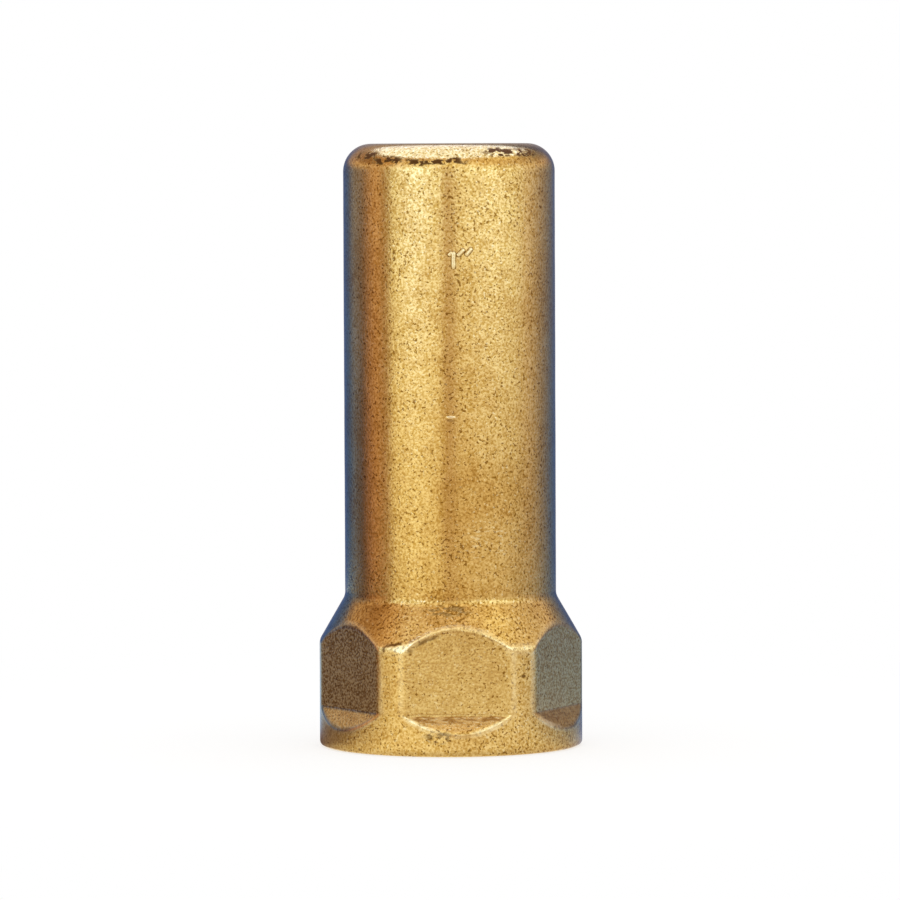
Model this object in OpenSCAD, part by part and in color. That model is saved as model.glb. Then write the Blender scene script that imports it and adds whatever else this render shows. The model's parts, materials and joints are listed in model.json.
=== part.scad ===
// Piston water hammer arrestor for a pipe end. A hot-forged brass body, closed at
// the top, has six spanner flats and a female pipe thread at its foot. A sealed
// piston slides in the body's bore against a coil spring, and a retaining ring
// stops it above the thread.
// Millimetres, +Z up, origin at the centre of the socket's bottom face.

/* [Pipe thread] */
// Major diameter of the pipe thread
thread_major_d = 33.25; // [30:0.05:35]
// Pitch of the pipe thread
thread_pitch = 2.309; // [1.8:0.001:2.5]
// Depth of the threaded length, from the bottom face
thread_len = 15; // [11:0.5:18]
// Width of the relief groove behind the thread
relief_w = 3; // [2:0.1:4]
// Radial depth of the relief groove beyond the thread's major diameter
relief_depth = 0.3; // [0.1:0.05:0.5]
// Radial size of the mouth's chamfer beyond the thread's major diameter
mouth_chamfer = 0.4; // [0.2:0.05:1]

/* [Forged body] */
// Overall height of the body
body_h = 102.5; // [95:0.5:130]
// Wall of the cylindrical part, around the piston bore
tube_wall = 3; // [2:0.1:4]
// Thickness of the closed end
crown_t = 4.5; // [3:0.1:8]
// Rounding of the closed end's outer edge
crown_r = 4.7; // [2:0.1:8]
// Rounding of the bore's blind end
blind_r = 2; // [0.5:0.1:3]
// Spanner size over the flats
hex_af = 41; // [40:0.1:46]
// How far the foot collar stands proud of the flats
collar_proud = 1.9; // [1.2:0.05:2.2]
// Height of the lower end of the flats
flat_foot_z = 6.9; // [5.5:0.1:9]
// Slope of the ramp below each flat, from the axis
ramp_angle = 32; // [25:1:45]
// Height where the shoulder cone leaves the collar
cone_foot_z = 18; // [15:0.1:22]
// Slope of the shoulder cone, from the axis
cone_angle = 30; // [25:1:40]
// Rounding of the edge between the collar and the cone
cone_foot_r = 2.5; // [1:0.1:4]
// Fillet between the cone and the tube
cone_head_r = 2.5; // [1:0.1:5]
// Rounding of the body's bottom edge
foot_r = 0.8; // [0.3:0.1:1.5]

/* [Retaining ring] */
// Height of the ring's groove above the bore's lead-in
ring_edge = 2.2; // [1.5:0.1:4]
// Thickness of the ring
ring_t = 1.2; // [1:0.1:1.75]
// Radial depth of the ring's groove
ring_groove_depth = 0.7; // [0.5:0.05:1]
// Radial width of the ring opposite its gap
ring_back_w = 3; // [2.2:0.1:3.5]
// Radial width of the ring beside its lugs
ring_end_w = 2.1; // [1.6:0.1:2.6]
// Radius of each lug
lug_r = 2.2; // [1.8:0.1:2.6]
// Diameter of the plier hole in each lug
lug_hole_d = 2; // [1.5:0.1:2.5]
// Gap between the lugs
ring_gap = 5; // [3:0.1:8]

/* [Piston] */
// Length of the piston
piston_len = 26; // [24:0.5:32]
// Thickness from the piston's foot to the floor of its spring pocket
piston_floor = 7; // [5:0.1:9]
// Diameter of the recess in the piston's foot
foot_recess_d = 17; // [10:0.5:19]
// Depth of that recess
foot_recess_depth = 2.5; // [1:0.1:3]
// Chamfer of the piston's edges
piston_chamfer = 0.8; // [0.4:0.1:1.2]
// Rounding of the pocket's floor
pocket_r = 1; // [0.4:0.1:1.5]

/* [Piston seals] */
// Cord diameter of the free O-ring
seal_cord = 2.62; // [2.4:0.01:2.8]
// Radial depth of the seal's groove, bore to groove floor
gland_depth = 2.2; // [2:0.05:2.35]
// Width of each seal groove
gland_w = 3.5; // [3.2:0.1:4]
// Height of the lower groove above the piston's foot
gland_foot = 4; // [3:0.1:5]
// Land between the two grooves
gland_land = 5; // [3:0.1:7]

/* [Spring] */
// Wire diameter
wire_d = 2.4; // [1.8:0.1:2.8]
// Outer diameter of the coil
coil_d = 20; // [17:0.1:20.6]
// Turns in all, with one closed turn at each end
turns = 9; // [6:1:11]

/* [Clearances] */
// Radial room of the piston bore inside the thread's crests, to pass the piston in
pass_room = 0.145; // [0.1:0.005:0.4]
// Radial room of the piston in its bore
piston_room = 0.06; // [0.03:0.01:0.1]
// Radial room of the squeezed seal at the bore
seal_room = 0.03; // [0.02:0.01:0.05]
// Radial room of the spring in the piston's pocket
pocket_room = 0.5; // [0.3:0.05:0.8]
// Room of the retaining ring in its groove
ring_room = 0.05; // [0.02:0.01:0.1]

/* [Hidden] */
$fn = 128;

flats = 6;
// Margin by which a cutting shape runs past the surface that it cuts
over = 1;

// Radii of the thread, the bore and the outside
thread_depth = 0.640327 * thread_pitch;
thread_major_r = thread_major_d / 2;
thread_minor_r = thread_major_r - thread_depth;
relief_r = thread_major_r + relief_depth;
mouth_r = thread_major_r + mouth_chamfer;
bore_r = thread_minor_r - pass_room;
tube_r = bore_r + tube_wall;
flat_r = hex_af / 2;
collar_r = flat_r + collar_proud;
ring_groove_r = bore_r + ring_groove_depth;

// Heights, stacked up from the bottom face
bore_foot_z = thread_len + relief_w;
lead_in_h = (relief_r - bore_r) / tan(30);
ring_z = bore_foot_z + lead_in_h + ring_edge;
piston_z = ring_z + ring_t;
pocket_z = piston_z + piston_floor;
bore_end_z = body_h - crown_t;
cone_head_z = cone_foot_z + (collar_r - tube_r) / tan(cone_angle);

// Piston and seal sizes
piston_r = bore_r - piston_room;
gland_r = bore_r - gland_depth;
pocket_side_r = coil_d / 2 + pocket_room;
gland_z = [for (i = [0, 1]) piston_z + gland_foot + i * (gland_w + gland_land)];
seal_h = gland_depth - seal_room;
// A squeezed O-ring keeps its section's area: a circle with two flats, this wide
seal_w = seal_cord * sqrt(seal_cord / seal_h);

// Spring: seats, coil radius, and the sides and rings of its mesh
spring_len = bore_end_z - pocket_z;
coil_r = (coil_d - wire_d) / 2;
wire_sides = 8;
rings_per_turn = 18;
// Gap between the wires of a closed turn, and how high the ground tip's centre lies
closed_gap = 0.15;
tip_z = wire_d / 4;

BRASS = [0.80, 0.62, 0.30];
ACETAL = [0.90, 0.89, 0.84];
RUBBER = [0.07, 0.07, 0.07];
STEEL = [0.72, 0.72, 0.70];

// Half a section, from the axis to radius r and up to height h, with its top edge rounded
module round_topped_half(r, h, edge) {
    square([r, h - edge]);
    translate([0, h - edge]) square([r - edge, edge]);
    translate([r - edge, h - edge])
        intersection() {
            circle(edge);
            square(2 * edge);
        }
}

// Band of a half section bounded outside by a convex arc, from the collar's side to the cone
module cone_foot_band() {
    tangent = cone_foot_r * tan(cone_angle / 2);
    low_z = cone_foot_z - tangent;
    band_h = cone_foot_r * sin(cone_angle);
    centre_x = collar_r - cone_foot_r;
    translate([0, low_z]) {
        square([centre_x, band_h]);
        translate([centre_x, 0])
            intersection() {
                circle(cone_foot_r);
                square([2 * cone_foot_r, band_h]);
            }
    }
}

// Band of a half section bounded outside by a concave arc, from the cone to the tube
module cone_head_band() {
    tangent = cone_head_r * tan(cone_angle / 2);
    high_z = cone_head_z + tangent;
    band_h = cone_head_r * sin(cone_angle);
    difference() {
        translate([0, high_z - band_h]) square([tube_r + cone_head_r, band_h]);
        translate([tube_r + cone_head_r, high_z]) circle(cone_head_r);
    }
}

// Straight stretch of the cone, between its two arcs
module cone_band() {
    foot_run = cone_foot_r * tan(cone_angle / 2);
    head_run = cone_head_r * tan(cone_angle / 2);
    foot = [collar_r - foot_run * sin(cone_angle), cone_foot_z + foot_run * cos(cone_angle)];
    head = [tube_r + head_run * sin(cone_angle), cone_head_z - head_run * cos(cone_angle)];
    polygon([[0, foot[1]], foot, head, [0, head[1]]]);
}

// Half section of the foot collar, with its bottom edge rounded
module collar_band() {
    high_z = cone_foot_z - cone_foot_r * tan(cone_angle / 2);
    translate([0, high_z]) mirror([0, 1]) round_topped_half(collar_r, high_z, foot_r);
}

// Outside of the body before its flats are pressed
module body_blank() {
    tube_z = cone_head_z + cone_head_r * tan(cone_angle / 2);
    rotate_extrude() {
        collar_band();
        cone_foot_band();
        cone_band();
        cone_head_band();
        translate([0, tube_z]) round_topped_half(tube_r, body_h - tube_z, crown_r);
    }
}

// One flat with the ramp below it, as the shape that it takes out of the blank
module flat_cut() {
    far_r = collar_r + over;
    ramp_h = (far_r - flat_r) / tan(ramp_angle);
    rotate([90, 0, 0])
        linear_extrude(height = 2 * collar_r, center = true)
            polygon([
                [flat_r, flat_foot_z],
                [far_r, flat_foot_z - ramp_h],
                [far_r, cone_head_z + over],
                [flat_r, cone_head_z + over]
            ]);
}

// Socket, relief, ring groove and piston bore
module body_bore() {
    mouth_h = mouth_r - thread_minor_r;
    translate([0, 0, -over])
        cylinder(h = over + mouth_h, r1 = mouth_r + over, r2 = thread_minor_r);
    translate([0, 0, -over]) cylinder(h = thread_len + 2 * over, r = thread_minor_r);
    translate([0, 0, thread_len]) cylinder(h = relief_w, r = relief_r);
    translate([0, 0, bore_foot_z]) cylinder(h = lead_in_h, r1 = relief_r, r2 = bore_r);
    translate([0, 0, ring_z]) cylinder(h = ring_t + 2 * ring_room, r = ring_groove_r);
    translate([0, 0, thread_len])
        rotate_extrude() round_topped_half(bore_r, bore_end_z - thread_len, blind_r);
}

module body() {
    color(BRASS)
        difference() {
            // Turned so that the revolve starts and ends in the middle of a flat
            rotate(180 / flats) body_blank();
            for (i = [0 : flats - 1]) rotate(-90 + i * 360 / flats) flat_cut();
            body_bore();
        }
}

// Cup-shaped piston: seal grooves outside, spring pocket above, recess in its foot
module piston() {
    wall_h = piston_len - 2 * piston_chamfer;
    color(ACETAL)
        translate([0, 0, piston_z])
            difference() {
                union() {
                    cylinder(h = piston_chamfer, r1 = piston_r - piston_chamfer, r2 = piston_r);
                    translate([0, 0, piston_chamfer]) cylinder(h = wall_h, r = piston_r);
                    translate([0, 0, piston_chamfer + wall_h])
                        cylinder(h = piston_chamfer, r1 = piston_r, r2 = piston_r - piston_chamfer);
                }
                for (z = gland_z)
                    translate([0, 0, z - piston_z])
                        difference() {
                            cylinder(h = gland_w, r = bore_r + over);
                            translate([0, 0, -over]) cylinder(h = gland_w + 2 * over, r = gland_r);
                        }
                translate([0, 0, piston_len + over])
                    mirror([0, 0, 1])
                        rotate_extrude()
                            round_topped_half(pocket_side_r, piston_len + over - piston_floor, pocket_r);
                translate([0, 0, -over])
                    cylinder(h = foot_recess_depth + over, d = foot_recess_d);
            }
}

// O-ring as it sits squeezed between its groove's floor and the bore
module squeezed_o_ring(groove_z) {
    color(RUBBER)
        translate([0, 0, groove_z + gland_w / 2])
            rotate_extrude()
                translate([gland_r + seal_h / 2, 0])
                    intersection() {
                        circle(d = seal_w);
                        square([seal_h, 2 * seal_w], center = true);
                    }
}

module lower_o_ring() {
    squeezed_o_ring(gland_z[0]);
}

module upper_o_ring() {
    squeezed_o_ring(gland_z[1]);
}

// Height of the wire's centre after a number of turns: closed, open, then closed
function wire_z(turn) =
    let (
        closed_z = tip_z + wire_d + closed_gap,
        open_pitch = (spring_len - 2 * closed_z) / (turns - 2)
    )
    turn < 1 ? tip_z + turn * (wire_d + closed_gap)
    : turn < turns - 1 ? closed_z + (turn - 1) * open_pitch
    : spring_len - tip_z - (turns - turn) * (wire_d + closed_gap);

// One corner of the wire's section, ground flat where it would pass a seat
function wire_corner(turn, side) =
    let (
        around = 360 * side / wire_sides,
        out = coil_r + wire_d / 2 * cos(around),
        up = wire_z(turn) + wire_d / 2 * sin(around)
    )
    [out * cos(360 * turn), out * sin(360 * turn), min(max(up, 0), spring_len)];

// Compression spring with closed and ground ends, swept as one closed mesh
module spring() {
    last = turns * rings_per_turn;
    corners = [
        for (ring = [0 : last]) for (side = [0 : wire_sides - 1])
            wire_corner(ring / rings_per_turn, side)
    ];
    function corner(ring, side) = ring * wire_sides + side % wire_sides;
    walls = [
        for (ring = [0 : last - 1]) for (side = [0 : wire_sides - 1])
            each [
                [corner(ring, side), corner(ring, side + 1), corner(ring + 1, side + 1)],
                [corner(ring, side), corner(ring + 1, side + 1), corner(ring + 1, side)]
            ]
    ];
    // Each end cap fans out from a corner that the grinding leaves alone
    quarter = wire_sides / 4;
    ends = [
        [for (step = [0 : wire_sides - 1]) corner(0, wire_sides + quarter - step)],
        [for (step = [0 : wire_sides - 1]) corner(last, 3 * quarter + step)]
    ];
    color(STEEL)
        translate([0, 0, pocket_z]) polyhedron(points = corners, faces = concat(walls, ends));
}

// Internal retaining ring, thickest opposite its gap, with a holed lug at each end
module retaining_ring() {
    out_r = ring_groove_r - ring_room;
    eye_r = out_r - (ring_back_w + ring_end_w) / 2;
    eye_shift = (ring_back_w - ring_end_w) / 2;
    lug_x = ring_gap / 2 + lug_r;
    lug_y = -sqrt(pow(out_r - lug_r, 2) - pow(lug_x, 2));
    color(STEEL)
        translate([0, 0, ring_z])
            linear_extrude(height = ring_t)
                difference() {
                    union() {
                        difference() {
                            circle(out_r);
                            translate([0, -eye_shift]) circle(eye_r);
                        }
                        for (side = [-1, 1]) translate([side * lug_x, lug_y + lug_r / 2]) circle(lug_r);
                    }
                    translate([-ring_gap / 2, -out_r - over]) square([ring_gap, out_r]);
                    for (side = [-1, 1])
                        translate([side * lug_x, lug_y + lug_r / 2]) circle(d = lug_hole_d);
                }
}

body();
piston();
lower_o_ring();
upper_o_ring();
spring();
retaining_ring();
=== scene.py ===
"""Looks of a piston water hammer arrestor: its forged brass body and the piston set inside.

Sizes are metres in the part's own frame: +Z up along the axis, the pipe's mouth at z = 0,
and a spanner flat facing -Y.
"""
import json
import math

import bmesh
import bpy
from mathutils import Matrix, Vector


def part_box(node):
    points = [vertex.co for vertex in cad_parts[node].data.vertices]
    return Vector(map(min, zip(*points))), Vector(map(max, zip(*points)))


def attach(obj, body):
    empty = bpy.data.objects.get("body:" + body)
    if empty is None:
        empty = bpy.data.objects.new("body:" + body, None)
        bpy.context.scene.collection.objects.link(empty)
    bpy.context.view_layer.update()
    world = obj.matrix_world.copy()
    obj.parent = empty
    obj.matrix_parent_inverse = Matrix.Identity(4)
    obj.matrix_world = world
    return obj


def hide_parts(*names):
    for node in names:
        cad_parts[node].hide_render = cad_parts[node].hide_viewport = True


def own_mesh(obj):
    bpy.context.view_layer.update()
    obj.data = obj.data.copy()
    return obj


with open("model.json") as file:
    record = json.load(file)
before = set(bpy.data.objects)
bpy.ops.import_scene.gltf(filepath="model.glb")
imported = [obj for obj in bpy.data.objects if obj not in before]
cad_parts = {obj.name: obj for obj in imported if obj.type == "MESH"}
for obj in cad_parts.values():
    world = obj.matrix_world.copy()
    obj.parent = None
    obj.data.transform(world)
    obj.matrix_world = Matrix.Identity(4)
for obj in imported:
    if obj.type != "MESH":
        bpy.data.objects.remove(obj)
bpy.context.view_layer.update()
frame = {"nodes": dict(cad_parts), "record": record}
scene = bpy.context.scene
scene.view_settings.view_transform = "Standard"

MM = 0.001


def in_mm(*sizes):
    """Sizes that are given in millimetres."""
    return tuple(size * MM for size in sizes)


def in_degrees(*angles):
    """Angles that are given in degrees."""
    return tuple(math.radians(angle) for angle in angles)


# Sizes read from the frame
_, body_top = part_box("body")
spring_low, spring_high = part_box("spring")
ring_low, ring_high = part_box("retaining_ring")
socket = next(mount for mount in frame["record"]["mounts"] if mount["name"] == "pipe_thread")
BODY_H = body_top.z
COLLAR_R = body_top.x
CREST_R = socket["dims"]["r_mm"] * MM
BORE_END_Z = spring_high.z

# Sizes of the forged body
TUBE_R = 18.0 * MM
BORE_R = 15.0 * MM
CROWN_R = 4.7 * MM
BLIND_R = 2.0 * MM
FLAT_R = 20.5 * MM
FLATS = 6
FLAT_FOOT_Z = 6.9 * MM
RAMP_ANGLE = math.radians(32)
CONE_FOOT_Z = 18.0 * MM
CONE_ANGLE = math.radians(30)
CONE_ROUND = 2.5 * MM
CONE_HEAD_Z = CONE_FOOT_Z + (COLLAR_R - TUBE_R) / math.tan(CONE_ANGLE)
FOOT_R = 0.8 * MM
EDGE_SOFT = 0.4 * MM
RAMP_SOFT_SHARE = 0.3

# Traces of forging: lips round the flats with painted highlights along them, along the edges and at the
# corners, streaks on the ramps, and coarser side flats, which get painted sparkle.
# What fades has its two limits first and then the width of the fade.
LIP_H = 0.06 * MM
LIP_W = 0.5 * MM
LIP_FOOT = in_mm(17.0, 18.0)
ARCH_SPAN = in_degrees(8, 22)
ARCH_LIP = (0.1, 0.8)
RIDGE_SPAN = in_degrees(-24, -11, 4)
RIDGE_LIP = 0.9
RIDGE_FOOT = in_mm(0.3, 0.5, 0.15)
LOW_EDGE = in_mm(-0.4, 0.05, 0.2)
LOW_EDGE_RUN = in_mm(0.3, 1.0)
LOW_EDGE_SPAN = in_degrees(4, 12)
UPRIGHT_EDGE = in_mm(-0.4, -0.08, 0.12)
UPRIGHT_HIGHLIGHT = 0.5
CORNER_SPAN = in_degrees(20, 27)
CORNER_Z = in_mm(17.2, 18.6, 0.6)
CORNER_HIGHLIGHT = 0.45
STREAK_RUN = in_mm(2.2, 0.7)
LEFT_SIDE = in_degrees(-84, -36, 3)
RIGHT_SIDE = in_degrees(36, 84, 3)
SIDE_STREAKS = 0.2
RIGHT_PLAIN = 0.4
RIGHT_COARSE = 0.45
TRACE_FADE = 0.15 * MM
UNEVEN = 0.03 * MM

# Fold at one corner: a facet sheared off between two bearings, with a painted highlight on it, under a torn
# crease of painted shade
FACET_SPAN = in_degrees(-31.5, -21)
FACET_FADE = math.radians(0.8)
FACET_FOOT = in_mm(18.1, 16.7)
FACET_HEAD = in_mm(18.4, 19.1)
FACET_RISE = in_mm(0.0, 0.25)
FACET_FALL = in_mm(0.1, -0.1)
FACET_EDGE = in_mm(0.25, 0.05)
FACET_ANGLE = math.radians(15)
FACET_HIGHLIGHT = 0.4
CREASE_SPAN = in_degrees(-32, -25.5, 1)
CREASE_BAND = in_mm(0.0, 0.35, 0.12)
FOLD_END = (math.radians(-33.2), 17.9 * MM)
FOLD_END_REACH = in_mm(0.4, 0.8)
FOLD_END_FADE = (1.0, 0.4)

# Bands of rougher blasting and of scale, and single marks, each with its bearing in degrees, distance from
# the axis, height, flatness and radius
ROUGH_SHOULDER = in_mm(19.0, 25.0, 2.5)
CROWN_LINE = in_mm(99.3, 99.8, 0.4)
CROWN_STAIN = (-8, 17.6 * MM, 99.7 * MM, 1.0, 7.0 * MM)
EDGE_STAINS = (
    (-54.5, 17.1 * MM, 100.6 * MM, 4.0, 4.2 * MM),
    (-36, 17.6 * MM, 99.7 * MM, 4.0, 4.2 * MM),
    (31, 16.6 * MM, 101.1 * MM, 4.0, 4.2 * MM),
    (50, 16.8 * MM, 100.9 * MM, 4.0, 4.2 * MM),
)
FAINT_STAINS = (
    (-1.5, 18.6 * MM, 24.3 * MM, 4.0, 5.0 * MM),
    (-5.5, COLLAR_R, 3.4 * MM, 2.0, 3.0 * MM),
)
TUBE_PATCH = (24, TUBE_R, 36.5 * MM, 0.8, 13.0 * MM)
SHOULDER_PATCHES = (
    (-52, 19.8 * MM, 23.8 * MM, 1.3, 5.5 * MM),
    (-3, 19.2 * MM, 24.6 * MM, 1.3, 5.5 * MM),
)
# A nick, which the material paints with a highlight, and painted shade under it
NICK = (0.6, TUBE_R, 56.8 * MM, 3.5, 0.85 * MM)
NICK_SHADE = (0.6, TUBE_R, 56.2 * MM, 3.0, 0.9 * MM)
SCUFF = (22, TUBE_R, 36.0 * MM, 1.5, 7.0 * MM)
PIT = (33, COLLAR_R, 13.3 * MM, 1.6, 0.6 * MM)
SPOT_CORE = 0.5

# Clouds of noise: waves over a metre, the two levels that it swings between, and the strength at each
HIGHLIGHT_PATCHES = (700.0, 0.4, 0.6, 0.35, 0.75)
CREASE_SHADE_PATCHES = (900.0, 0.35, 0.55, 0.2, 1.0)
MOTTLE = (420.0, 0.42, 0.7, 0.0, 0.45)
LINE_PATCHES = (130.0, 0.35, 0.6, 0.0, 0.5)

# Noise drawn out along the axes: waves over a metre along each, and the two levels that it swings between
STAIN_BREAKS = ((900.0, 900.0, 1900.0), 0.44, 0.54)
RAMP_STREAKS = ((480.0, 480.0, 2500.0), 0.42, 0.56)
SCUFF_LINES = ((1100.0, 1100.0, 2600.0), 0.58, 0.66)

# Noise that wanders to either side: waves over a metre, and the whole width
CREASE_WANDER = (450.0, 0.6 * MM)
LINE_WANDER = (320.0, 1.8 * MM)
SWELL_WANDER = (130.0, 2.0)

# Levels that other noises swing between
NOISE_SWING = (0.3, 0.7)
BLOTCH_SWING = (0.35, 0.65)
GLINT_SWING = (0.64, 0.76)
SPECKLE_SWING = (0.25, 0.75)

# Forged brass: its grain and where a pit begins, its stains and brown scale, its roughness and its relief
BLAST_WAVES = 2500.0
PIT_LIMITS = (0.605, 0.62)
PIT_EDGE = 0.08
PIT_CROWD = 0.03
SHOULDER_PITS = 0.03
FAINT = 0.5
TUBE_BROWN = 0.4
SHOULDER_BROWN = 0.85
SCALE_BLOTCH = (0.48, 0.72, 0.0, 0.5)
STAIN_METAL = 0.25
GRAIN_ROUGH = (0.18, 0.11)
SCALE_ROUGH = 0.08
STAIN_ROUGH = 0.4
SLOW_WAVES = 120.0
BRASS_RELIEF = 0.014 * MM

# Raised size mark: strokes of a one and its inch sign, in millimetres across and up
MARK_STROKES = (
    ((0.0, 1.6), (0.0, -1.6)),
    ((-0.95, 0.65), (-0.1, 1.5)),
    ((0.55, 0.6), (1.9, 1.95)),
    ((1.95, 0.65), (3.2, 2.15)),
)
MARK_Z = 83.05 * MM
MARK_BEARING = math.radians(-0.75)
MARK_STROKE = 0.95 * MM
MARK_RELIEF = 0.26 * MM
MARK_STEP = 0.12 * MM
MARK_SIDES = 14
MARK_END = 0.98
# Painted highlight on the mark's top and painted shade at its foot: the two shares of its relief they run
# between, and a strength
MARK_TRACES = (("lip_and_highlight", 0.78, 0.92, 1.0), ("crease_shade", 0.88, 0.7, 0.65))

# Sizes of the socket and its thread, with the vee's heights as shares of the pitch
PITCH = 2.309 * MM
SHARP_VEE = 0.960491
CUT_VEE = 0.640327
VEE_ROUND = 0.14
ROOT_R = CREST_R + CUT_VEE * PITCH
THREAD_LEN = 15.0 * MM
THREAD_END = 0.01 * MM
RELIEF_R = ROOT_R + 0.3 * MM
MOUTH_R = ROOT_R + 0.4 * MM
BORE_FOOT_Z = 18.0 * MM
LEAD_IN_ANGLE = math.radians(30)
LEAD_IN_Z = BORE_FOOT_Z + (RELIEF_R - BORE_R) / math.tan(LEAD_IN_ANGLE)
RING_GROOVE_R = BORE_R + 0.7 * MM
RING_GROOVE_TOP = ring_high.z + 0.1 * MM

# The body's mesh: columns around it, shares of a flat end's radius with their columns, and rows up its
# outside, each band with its foot and its step
FINE = 480
COARSE = 240
BLIND_RINGS = ((0.0, 1), (0.2, 60), (0.6, 120))
CROWN_RINGS = ((0.85, 240), (0.6, 120), (0.3, 60), (0.0, 1))
THREAD_STEP = PITCH / 12
BORE_STEP = 12 * MM
ROWS = (
    (FOOT_R, 0.6 * MM),
    (3.0 * MM, 0.2 * MM),
    (7.8 * MM, 1.2 * MM),
    (16.2 * MM, 0.2 * MM),
    (22.4 * MM, 0.4 * MM),
    (CONE_HEAD_Z + 1.5 * MM, 2.0 * MM),
)
SMALL_ARC_STEPS = 6
CROWN_STEPS = 18

# Sizes of the spring: one turn is closed at each end, and the tips are ground to a share of the wire
WIRE_D = 2.4 * MM
COIL_R = spring_high.x - WIRE_D / 2
TURNS = 9
ENDS = 2.0
TIP_SHARE = 0.25
COIL_GAP = 0.15 * MM
STEPS_PER_TURN = 48
WIRE_SIDES = 20

# Camera's place, and bearings from it
CAMERA_BEARING = math.radians(-3)
CAMERA_DISTANCE = 1.01
CAMERA_Z = 106 * MM
CAMERA_ROLL = math.radians(-0.23)
AIM_Z = 50.3 * MM
LENS_MM = 237.3


def at_bearing(degrees, distance, z):
    """Point at a bearing from the axis, 0 towards the camera and positive to its right."""
    angle = CAMERA_BEARING + math.radians(degrees)
    return Vector((distance * math.sin(angle), -distance * math.cos(angle), z))


# Node helpers

class Nodes:
    """Adds nodes to a tree. An input is a socket to link, or a value to set."""

    def __init__(self, tree):
        self.tree = tree

    def put(self, socket, value):
        if isinstance(value, bpy.types.NodeSocket):
            self.tree.links.new(value, socket)
        elif value is not None:
            socket.default_value = value

    def put_named(self, node, values):
        for name, value in values.items():
            self.put(node.inputs[name], value)

    def add(self, kind, *inputs, named=None, **settings):
        node = self.tree.nodes.new(kind)
        for name, value in settings.items():
            setattr(node, name, value)
        for socket, value in zip(node.inputs, inputs):
            self.put(socket, value)
        self.put_named(node, named or {})
        return node

    def out(self, kind, *inputs, named=None, **settings):
        """The first output of a new node."""
        return self.add(kind, *inputs, named=named, **settings).outputs[0]

    def math(self, operation, *inputs, clamp=False):
        return self.out("ShaderNodeMath", *inputs, operation=operation, use_clamp=clamp)

    def joined(self, operation, inputs):
        """One value of several, taken two at a time."""
        value = inputs[0]
        for other in inputs[1:]:
            value = self.math(operation, value, other)
        return value

    def plus(self, *inputs):
        return self.joined("ADD", inputs)

    def times(self, *inputs):
        return self.joined("MULTIPLY", inputs)

    def most(self, *inputs):
        return self.joined("MAXIMUM", inputs)

    def least(self, *inputs):
        return self.joined("MINIMUM", inputs)

    def minus(self, first, second):
        return self.math("SUBTRACT", first, second)

    def over(self, first, second):
        return self.math("DIVIDE", first, second)

    def length(self, across, along):
        return self.math("SQRT", self.plus(self.times(across, across), self.times(along, along)))

    def remap(self, value, low, high, to_low=0.0, to_high=1.0, step="SMOOTHSTEP"):
        """A value's run between two limits, taken to a run between two others."""
        return self.out("ShaderNodeMapRange", value, low, high, to_low, to_high, interpolation_type=step)

    def within(self, value, low, high, fade):
        """1 between two limits, with a soft fade outside them."""
        rise = self.remap(value, low - fade, low)
        return self.times(rise, self.remap(value, high + fade, high))

    def noise(self, place, waves, detail=2.0):
        return self.out("ShaderNodeTexNoise", place, named={"Scale": waves, "Detail": detail})

    def cloud(self, place, waves, low, high, weak, strong):
        """Noise between two levels, as a strength."""
        return self.remap(self.noise(place, waves), low, high, weak, strong)

    def wander(self, place, waves, width, detail=2.0):
        """Noise that wanders about 0 over a width."""
        return self.times(self.minus(self.noise(place, waves, detail), 0.5), width)

    def stretched(self, place, waves, low, high):
        """Mask of noise drawn out along the axes."""
        along = self.out("ShaderNodeMapping", place, named={"Scale": waves})
        return self.remap(self.noise(along, 1.0), low, high)

    def mix(self, share, first, second):
        node = self.add("ShaderNodeMix", data_type="RGBA")
        for socket, value in zip((node.inputs[0], node.inputs[6], node.inputs[7]), (share, first, second)):
            self.put(socket, value)
        return node.outputs[2]

    def blend(self, first, *layers):
        """Colour with layers (mask, strength, colour) laid over it one after another."""
        for mask, strength, over in layers:
            first = self.mix(self.times(mask, strength), first, over)
        return first

    def attribute(self, name):
        return self.add("ShaderNodeAttribute", attribute_name=name).outputs["Fac"]

    def traced(self, geometry, name, value):
        """Geometry that keeps a value at its points under a name."""
        return self.out("GeometryNodeStoreNamedAttribute", geometry, data_type="FLOAT", domain="POINT",
                        named={"Name": name, "Value": value})

    def moved(self, geometry, x, y, z):
        place = self.out("ShaderNodeCombineXYZ", x, y, z)
        return self.out("GeometryNodeSetPosition", geometry, named={"Position": place})

    def rods(self, curves, sides, radius, scale=None):
        """Round rods along curves, with closed ends."""
        section = self.out("GeometryNodeCurvePrimitiveCircle", named={"Resolution": sides, "Radius": radius})
        return self.out("GeometryNodeCurveToMesh", curves, section, named={"Scale": scale, "Fill Caps": True})

    def position(self):
        """The place of each point, as a vector and along the axes."""
        place = self.out("GeometryNodeInputPosition")
        return place, *self.add("ShaderNodeSeparateXYZ", place).outputs


def colour(red, green, blue):
    return (red, green, blue, 1.0)


def node_group(kind, name, inputs, outputs):
    """A node group, with the type of each named input and output."""
    tree = bpy.data.node_groups.new(name, kind)
    for way, labels in (("INPUT", inputs), ("OUTPUT", outputs)):
        for label, shape in labels.items():
            tree.interface.new_socket(label, in_out=way, socket_type="NodeSocket" + shape)
    nodes = Nodes(tree)
    return nodes, nodes.add("NodeGroupInput").outputs


def geometry_tree(name, sizes):
    """A tree with a geometry in and out and one named float input for each size."""
    inputs = {"Geometry": "Geometry", **dict.fromkeys(sizes, "Float")}
    return node_group("GeometryNodeTree", name, inputs, {"Geometry": "Geometry"})


def finish_tree(nodes, geometry, materials):
    """Ends a tree: smooth, realized, and with each (material, selection) in turn."""
    geometry = nodes.out("GeometryNodeSetShadeSmooth", geometry)
    geometry = nodes.out("GeometryNodeRealizeInstances", geometry)
    for material, selection in materials:
        geometry = nodes.out("GeometryNodeSetMaterial", geometry, selection, material)
    nodes.add("NodeGroupOutput", geometry)
    return nodes


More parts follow.
